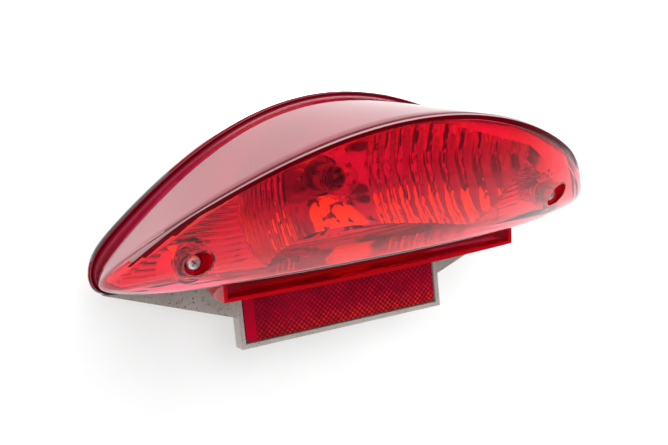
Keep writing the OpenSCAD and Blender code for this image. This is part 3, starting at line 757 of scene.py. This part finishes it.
def noise_at(nt, size_mm, detail):
    """Noise with features of about a size, in the object's own coordinates."""
    tex = add(nt, "ShaderNodeTexNoise", Scale=1.0, Detail=detail)
    nt.links.new(object_coords(nt, [1 / (size_mm * MM)] * 3), tex.inputs["Vector"])
    return tex.outputs["Fac"]


def grey(value):
    return (value,) * 3


def ramp(nt, fac, *stops):
    """Colours by factor, from stops of a position and a colour."""
    node = nt.nodes.new("ShaderNodeValToRGB")
    for element, (position, color) in zip(node.color_ramp.elements, stops):
        element.position = position
        element.color = (*color, 1)
    nt.links.new(fac, node.inputs["Fac"])
    return node.outputs["Color"]


def bump(nt, height, distance_mm):
    node = add(nt, "ShaderNodeBump", Strength=1.0, Distance=distance_mm * MM)
    nt.links.new(height, node.inputs["Height"])
    return node.outputs["Normal"]


def surface(nt, shader):
    out = nt.nodes.new("ShaderNodeOutputMaterial")
    nt.links.new(shader, out.inputs["Surface"])


def mixed_shaders(nt, fac, first, second):
    mix = nt.nodes.new("ShaderNodeMixShader")
    for socket, output in zip(mix.inputs, (fac, first, second)):
        nt.links.new(output, socket)
    return mix.outputs["Shader"]


def tint(color, k):
    return tuple(min(1, max(0, v * k)) for v in color)


def moulded(name, color, roughness, grain_depth=0.02, metallic=0.0, speckle=None):
    """A moulded or plated finish: fine grain, slow patches in colour and roughness, and specks if asked."""
    grain_mm, patch_mm, contrast = 0.35, 14, 0.12
    mat, nt = node_tree(name)
    bsdf = add(nt, "ShaderNodeBsdfPrincipled", Metallic=metallic)
    patches = noise_at(nt, patch_mm, 4)
    base = ramp(nt, patches, (0.3, tint(color, 1 - contrast)), (0.7, tint(color, 1 + contrast)))
    if speckle:
        dots = ramp(nt, noise_at(nt, 0.8, 1), (0.6, grey(0)), (0.7, grey(1)))
        base = mixed(nt, dots, base, speckle)
    nt.links.new(base, bsdf.inputs["Base Color"])
    smoother, rougher = grey(roughness * 0.85), grey(min(1, roughness * 1.15))
    rough = ramp(nt, noise_at(nt, patch_mm / 3, 3), (0.3, smoother), (0.7, rougher))
    nt.links.new(rough, bsdf.inputs["Roughness"])
    nt.links.new(bump(nt, noise_at(nt, grain_mm, 2), grain_depth), bsdf.inputs["Normal"])
    surface(nt, bsdf.outputs["BSDF"])
    return mat


def tinted_glass(name, color, ior=ACRYLIC_IOR, ripple_mm=0.0, ripple_size=6.0, shadow_share=1.0):
    """Clear tinted plastic or glass. Light meant for shading passes straight through it, with its tint."""
    mat, nt = node_tree(name)
    bsdf = add(nt, "ShaderNodeBsdfPrincipled", Roughness=0.0, IOR=ior, Transmission_Weight=1.0)
    shade = ramp(nt, noise_at(nt, 30, 2), (0.3, tint(color, 0.97)), (0.7, tint(color, 1.03)))
    nt.links.new(shade, bsdf.inputs["Base Color"])
    if ripple_mm:
        nt.links.new(bump(nt, noise_at(nt, ripple_size, 1), ripple_mm), bsdf.inputs["Normal"])
    clear = add(nt, "ShaderNodeBsdfTransparent", Color=(*tint(color, shadow_share), 1))
    path = nt.nodes.new("ShaderNodeLightPath").outputs
    shading = arithmetic(nt, "MAXIMUM", path["Is Shadow Ray"], path["Is Diffuse Ray"])
    surface(nt, mixed_shaders(nt, shading, bsdf.outputs["BSDF"], clear.outputs["BSDF"]))
    return mat


def thick_or_painted_body(name, clear, body, share, gloss=0.5):
    """The clear red plastic where the eye looks into it: from outside, camera rays see a deep body colour
    under its gloss, and light on its way through is tinted as in the clear plastic. In thick plastic that
    body colour is its depth; elsewhere it is painted light: painted shade, painted dark lines or a painted
    reflection, as each zone's look says."""
    mat = clear.copy()
    mat.name = name
    nt = mat.node_tree
    out = next(n for n in nt.nodes if n.type == "OUTPUT_MATERIAL")
    glass = out.inputs["Surface"].links[0].from_socket
    deep = add(nt, "ShaderNodeBsdfPrincipled", Roughness=0.03, IOR=ACRYLIC_IOR, Specular_IOR_Level=gloss)
    shade = ramp(nt, noise_at(nt, 24, 2), (0.3, tint(body, 0.93)), (0.7, tint(body, 1.07)))
    nt.links.new(shade, deep.inputs["Base Color"])
    nt.links.new(bump(nt, noise_at(nt, 9, 1), 0.006), deep.inputs["Normal"])
    path = nt.nodes.new("ShaderNodeLightPath")
    weight = arithmetic(nt, "MULTIPLY", path.outputs["Is Camera Ray"], share)
    nt.links.new(mixed_shaders(nt, weight, glass, deep.outputs["BSDF"]), out.inputs["Surface"])
    return mat


def metallised(name):
    """Bright vacuum metallising, slightly uneven."""
    mat, nt = node_tree(name)
    bsdf = add(nt, "ShaderNodeBsdfPrincipled", Metallic=1.0)
    shade = ramp(nt, noise_at(nt, 20, 3), (0.3, (0.83, 0.83, 0.85)), (0.7, (0.9, 0.9, 0.92)))
    nt.links.new(shade, bsdf.inputs["Base Color"])
    rough = ramp(nt, noise_at(nt, 9, 3), (0.3, grey(0.05)), (0.75, grey(0.11)))
    nt.links.new(rough, bsdf.inputs["Roughness"])
    nt.links.new(bump(nt, noise_at(nt, 5, 2), 0.06), bsdf.inputs["Normal"])
    surface(nt, bsdf.outputs["BSDF"])
    return mat


def along(nt, axis, start_mm, end_mm):
    """0 to 1 as the object's own coordinate goes from start to end."""
    split = nt.nodes.new("ShaderNodeSeparateXYZ")
    nt.links.new(object_coords(nt, (1, 1, 1)), split.inputs[0])
    spread = nt.nodes.new("ShaderNodeMapRange")
    spread.inputs["From Min"].default_value = start_mm * MM
    spread.inputs["From Max"].default_value = end_mm * MM
    nt.links.new(split.outputs[axis], spread.inputs["Value"])
    return spread.outputs["Result"]


def arithmetic(nt, operation, a, b):
    """A maths node's result, where a and b are numbers or outputs."""
    node = nt.nodes.new("ShaderNodeMath")
    node.operation = operation
    for socket, value in zip(node.inputs, (a, b)):
        if isinstance(value, (int, float)):
            socket.default_value = value
        else:
            nt.links.new(value, socket)
    return node.outputs[0]


def mixed(nt, fac, a, b):
    """From a to b by a factor, where each is a colour or an output."""
    node = nt.nodes.new("ShaderNodeMix")
    node.data_type = "RGBA"
    nt.links.new(fac, node.inputs["Factor"])
    for socket, value in zip((node.inputs["A"], node.inputs["B"]), (a, b)):
        if isinstance(value, tuple):
            socket.default_value = (*value, 1)
        else:
            nt.links.new(value, socket)
    return node.outputs["Result"]


def prismatic(name):
    """Deep red prismatic plastic: staggered rows of small prisms, whose facets are a painted glint that grows
    brighter towards the lower right, and a plain strip at its left end."""
    mat, nt = node_tree(name)
    bsdf = add(nt, "ShaderNodeBsdfPrincipled", Roughness=0.07, IOR=ACRYLIC_IOR)
    per_prism = 1 / (PRISM * MM)
    vector = object_coords(nt, (per_prism, 1, per_prism))
    turn = add(nt, "ShaderNodeVectorRotate", Angle=math.radians(45))
    turn.rotation_type = "Y_AXIS"
    nt.links.new(vector, turn.inputs["Vector"])
    cells = add(nt, "ShaderNodeTexVoronoi", Scale=1.0, Randomness=0.0)
    nt.links.new(turn.outputs["Vector"], cells.inputs["Vector"])
    prisms = ramp(nt, cells.outputs["Distance"], (0.14, grey(1)), (0.5, grey(0)))
    body = ramp(nt, noise_at(nt, 30, 2), (0.35, (0.17, 0.001, 0.012)), (0.65, (0.26, 0.002, 0.02)))
    # Painted glint on the prism facets, brighter lower down and to the right.
    bright = mixed(nt, along(nt, "Z", REFLEX_LOW + 11, REFLEX_LOW + 1), (0.85, 0.0, 0.03), (1.0, 0.03, 0.005))
    uneven = ramp(nt, noise_at(nt, 4, 2), (0.35, grey(0.35)), (0.65, grey(1)))
    pattern = arithmetic(nt, "MULTIPLY", arithmetic(nt, "MULTIPLY", prisms, uneven), along(nt, "X", -110, 0))
    plain = arithmetic(nt, "LESS_THAN", along(nt, "X", -REFLEX_HALF_W, -REFLEX_HALF_W + PLAIN_STRIP), 1)
    faceted = mixed(nt, pattern, body, bright)
    nt.links.new(mixed(nt, plain, faceted, (0.5, 0.0, 0.022)), bsdf.inputs["Base Color"])
    nt.links.new(bump(nt, noise_at(nt, 12, 1), 0.01), bsdf.inputs["Normal"])
    surface(nt, bsdf.outputs["BSDF"])
    return mat


def paint(obj, mat):
    """Gives the whole of a piece or CAD node one material."""
    obj.data.materials.clear()
    obj.data.materials.append(mat)


# ---------------------------------------------------------------- build
RED = (0.92, 0.05, 0.16)
clear_red = tinted_glass("red_acrylic", RED, ripple_mm=0.012, ripple_size=9, shadow_share=0.35)
ZONE_LOOKS = (
    clear_red,
    # Hood: camera rays see a dark red body in place of the dim inside behind it, which is painted shade; its
    # gloss still reflects the room.
    thick_or_painted_body("red_acrylic_hood_painted_shade", clear_red, (0.2, 0.002, 0.018), 0.88),
    # Edge: a near-black red with hardly any gloss, painted dark lines of shade and dark reflection along the
    # ridge's corners, its groove and the flange, partly the depth of the thick plastic there.
    thick_or_painted_body("red_acrylic_edge_painted_dark_lines", clear_red, (0.085, 0.0, 0.003), 0.95, gloss=0.04),
    # Strip: a pale pink-grey body, a painted reflection of the bright room on the bevel along the ridge.
    thick_or_painted_body("red_acrylic_ledge", clear_red, (0.55, 0.0, 0.006), 0.85),
    thick_or_painted_body("red_acrylic_strip_painted_reflection", clear_red, (0.27, 0.16, 0.17), 0.96),
)
build_lens()
paint(build_reflector(), metallised("vacuum_metallising"))
left_screw = build_screw("left", -SCREW_X)
right_screw = build_screw("right", SCREW_X)
spring = build_spring()
tail_coil = build_filament("tail_filament", 0.22, 0.055, 16)
stop_coil = build_filament("stop_filament", 0.36, 0.08, 15)
tail_lead = build_lead("tail_wire")
stop_lead = build_lead("stop_wire")

GREY = (0.46, 0.405, 0.375)
brass = moulded("turned_brass", (0.72, 0.5, 0.2), 0.28, metallic=1.0, grain_depth=0.004)
zinc = moulded("zinc_plate", (0.82, 0.83, 0.85), 0.32, metallic=0.7, grain_depth=0.006)
spring_steel = moulded("spring_steel", (0.42, 0.43, 0.45), 0.3, metallic=1.0, grain_depth=0.004)
rubber = moulded("black_rubber", (0.03, 0.03, 0.032), 0.7, grain_depth=0.03)
black_vinyl = moulded("black_vinyl", (0.035, 0.035, 0.04), 0.42)
clear_glass = tinted_glass("bulb_glass", (0.97, 0.98, 0.99), ior=1.5)
looks = {
    "base_housing": moulded("grey_abs", GREY, 0.55, grain_depth=0.03, speckle=(0.24, 0.12, 0.09)),
    "mounting_inserts": brass,
    "lens_gasket": rubber,
    "bulb_socket": moulded("zinc_sheet", (0.6, 0.61, 0.63), 0.35, metallic=1.0, grain_depth=0.01),
    "socket_rivets": zinc,
    "contact_plate": moulded("fibre_board", (0.2, 0.09, 0.035), 0.6, grain_depth=0.03),
    "contact_studs": brass,
    "bulb_cap": moulded("nickel_brass", (0.75, 0.68, 0.52), 0.25, metallic=1.0, grain_depth=0.004),
    "bulb_insulator": moulded("black_glass", (0.012, 0.012, 0.016), 0.12, grain_depth=0.005),
    "bulb_contacts": moulded("solder", (0.62, 0.62, 0.63), 0.38, metallic=1.0, grain_depth=0.02),
    "bulb_glass": clear_glass,
    "bulb_stem": clear_glass,
    "filament_supports": spring_steel,
    "reflex_lens": prismatic("reflex_red"),
    "reflex_backing": moulded("white_plastic", (0.75, 0.75, 0.72), 0.5),
    "reflex_push_nuts": spring_steel,
    "wire_grommet": rubber,
    "ground_wire": moulded("green_vinyl", (0.015, 0.18, 0.05), 0.42),
    "terminal_sleeves": black_vinyl,
    "bullet_terminals": brass,
}
for node_name, look in looks.items():
    paint(frame["nodes"][node_name], look)
tungsten = moulded("tungsten", (0.3, 0.3, 0.32), 0.4, metallic=1.0, grain_depth=0.002)
blue_vinyl = moulded("blue_vinyl", (0.02, 0.05, 0.3), 0.42)
yellow_vinyl = moulded("yellow_vinyl", (0.62, 0.42, 0.02), 0.42)
for piece, look in (
    (left_screw, zinc),
    (right_screw, zinc),
    (spring, spring_steel),
    (tail_coil, tungsten),
    (stop_coil, tungsten),
    (tail_lead, blue_vinyl),
    (stop_lead, yellow_vinyl),
):
    paint(piece, look)


# ---------------------------------------------------------------- stage, light and camera
# What surrounds the lamp: patches by direction, with a half width and a soft edge in degrees, and a colour.
# OUTSIDE is what the lamp's outside reflects. INSIDE is what is seen after a pass through plastic or glass.
# The inside softboxes are greener than they look, because the red plastic takes out most of the green.
FRONT_GLOOM = grey(0.06)
SOFTBOX = grey(6)
GAP = grey(0.1)
SCREEN_GAP = (0.09, 0.1, 0.1)
WARM_SOFTBOX = (2.5, 14, 0.05)
OUTSIDE = (
    ((0.35, -0.9, -0.2), 30, 36, FRONT_GLOOM),
    ((0.5, 0.0, 0.86), 34, 10, SOFTBOX),
)
INSIDE = (
    ((0.98, -0.15, -0.1), 18, 9, GAP),
    ((-0.95, -0.35, -0.1), 12, 8, GAP),
    ((-0.36, -0.83, 0.34), 10, 4, SCREEN_GAP),
    ((-0.32, -0.6, -0.73), 12, 4, SCREEN_GAP),
    ((-0.76, -0.63, 0.14), 8, 4, SCREEN_GAP),
    ((-0.65, -0.5, -0.57), 9, 4, SCREEN_GAP),
    ((0.75, -0.6, 0.3), 9, 4, SCREEN_GAP),
    ((-0.15, -0.2, 0.96), 12, 4, SCREEN_GAP),
    ((0.35, -0.5, 0.78), 29, 5, WARM_SOFTBOX),
    ((-0.8, -0.28, 0.5), 18, 5, WARM_SOFTBOX),
)


def sweep():
    """The white table that the lamp lies on, seen only from its lamp side."""
    below_lamp, half = 0.3, 3000.0
    y = cad_box[1].y / MM + PARTING + below_lamp
    corners = [(-half, y, -half), (half, y, -half), (half, y, half), (-half, y, half)]
    table = new_piece("table", corners, [(0, 1, 2, 3)])
    mat, nt = node_tree("white_table")
    white = (1, 1, 1, 1)
    top = add(nt, "ShaderNodeBsdfPrincipled", Roughness=0.8, Emission_Color=white, Emission_Strength=0.33)
    paper = ramp(nt, noise_at(nt, 40, 3), (0.3, grey(0.64)), (0.7, grey(0.67)))
    nt.links.new(paper, top.inputs["Base Color"])
    clear = nt.nodes.new("ShaderNodeBsdfTransparent")
    below = nt.nodes.new("ShaderNodeNewGeometry").outputs["Backfacing"]
    surface(nt, mixed_shaders(nt, below, top.outputs["BSDF"], clear.outputs["BSDF"]))
    paint(table, mat)
    if table.data.polygons[0].normal.y > 0:
        table.data.flip_normals()


def area_light(name, at, aim, width, height, watts):
    """A rectangular light that isn't itself seen in the glossy and clear pieces."""
    light = bpy.data.lights.new(name, "AREA")
    light.shape = "RECTANGLE"
    light.size = width
    light.size_y = height
    light.energy = watts
    obj = bpy.data.objects.new(name, light)
    bpy.context.scene.collection.objects.link(obj)
    obj.visible_glossy = False
    obj.visible_transmission = False
    obj.location = at
    obj.rotation_mode = "QUATERNION"
    obj.rotation_quaternion = (Vector(aim) - Vector(at)).to_track_quat("-Z", "Y")


def toward(nt, direction, width, softness):
    """1 for rays that go within a cone round a direction, falling to 0 outside it."""
    coords = nt.nodes.new("ShaderNodeTexCoord")
    dot = nt.nodes.new("ShaderNodeVectorMath")
    dot.operation = "DOT_PRODUCT"
    nt.links.new(coords.outputs["Generated"], dot.inputs[0])
    dot.inputs[1].default_value = Vector(direction).normalized()
    spread = nt.nodes.new("ShaderNodeMapRange")
    spread.interpolation_type = "SMOOTHSTEP"
    spread.inputs["From Min"].default_value = math.cos(math.radians(width + softness))
    spread.inputs["From Max"].default_value = math.cos(math.radians(width))
    nt.links.new(dot.outputs["Value"], spread.inputs["Value"])
    return spread.outputs["Result"]


def room(nt, base, patches):
    """A plain colour with patches laid over it, each over the ones before."""
    for direction, width, softness, color in patches:
        base = mixed(nt, toward(nt, direction, width, softness), base, color)
    return base


def world():
    """White for the camera, the OUTSIDE room for reflections, and for what is seen through plastic or glass
    the INSIDE room, whose screens have dark gaps between them."""
    w = bpy.data.worlds.new("studio")
    bpy.context.scene.world = w
    w.use_nodes = True
    nt = w.node_tree
    nt.nodes.clear()
    coords = nt.nodes.new("ShaderNodeTexCoord")
    clutter = add(nt, "ShaderNodeTexNoise", Scale=5.0, Detail=2.0)
    nt.links.new(coords.outputs["Generated"], clutter.inputs["Vector"])
    gaps = ramp(nt, clutter.outputs["Fac"], (0.38, grey(1)), (0.43, grey(0)))
    screens = mixed(nt, gaps, room(nt, grey(0.95), INSIDE), GAP)
    path = nt.nodes.new("ShaderNodeLightPath").outputs
    through = arithmetic(nt, "GREATER_THAN", path["Transmission Depth"], 0.5)
    seen = mixed(nt, through, room(nt, grey(0.9), OUTSIDE), screens)
    seen = mixed(nt, path["Is Camera Ray"], seen, grey(1.05))
    background = add(nt, "ShaderNodeBackground", Strength=1.0)
    nt.links.new(seen, background.inputs["Color"])
    out = nt.nodes.new("ShaderNodeOutputWorld")
    nt.links.new(background.outputs["Background"], out.inputs["Surface"])


def camera():
    """Seen from the lamp's left and a little above, rolled as the lamp lies on the table."""
    azimuth, elevation, roll = (math.radians(v) for v in (-26.26, 10.54, -5.53))
    distance = 0.68935
    target = Vector((0.00107, -PARTING * MM, -0.02237))
    right = Vector((math.cos(azimuth), math.sin(azimuth), 0))
    level_back = Vector((math.sin(azimuth), -math.cos(azimuth), 0))
    back = level_back * math.cos(elevation) + Vector((0, 0, math.sin(elevation)))
    rise = back.cross(right)
    turned_right = math.cos(roll) * right + math.sin(roll) * rise
    turned_up = -math.sin(roll) * right + math.cos(roll) * rise
    cam = bpy.data.cameras.new("camera")
    cam.sensor_width = 36.0
    cam.lens = 70.06
    cam.clip_start = 0.01
    obj = bpy.data.objects.new("camera", cam)
    bpy.context.scene.collection.objects.link(obj)
    matrix = Matrix((turned_right, turned_up, back)).transposed().to_4x4()
    matrix.translation = target + back * distance
    obj.matrix_world = matrix
    bpy.context.scene.camera = obj


sweep()
world()
camera()
area_light("overhead", (-0.1, -1.4, 0.6), (0, 0, 0), 1.4, 1.1, 14)
area_light("side", (1.2, -0.7, 0.2), (0, 0, 0), 0.8, 0.8, 4)
area_light("front_fill", (-0.6, -1.3, -0.7), (0, 0, -0.04), 0.9, 0.9, 4.5)
bpy.context.scene.view_settings.view_transform = "Standard"
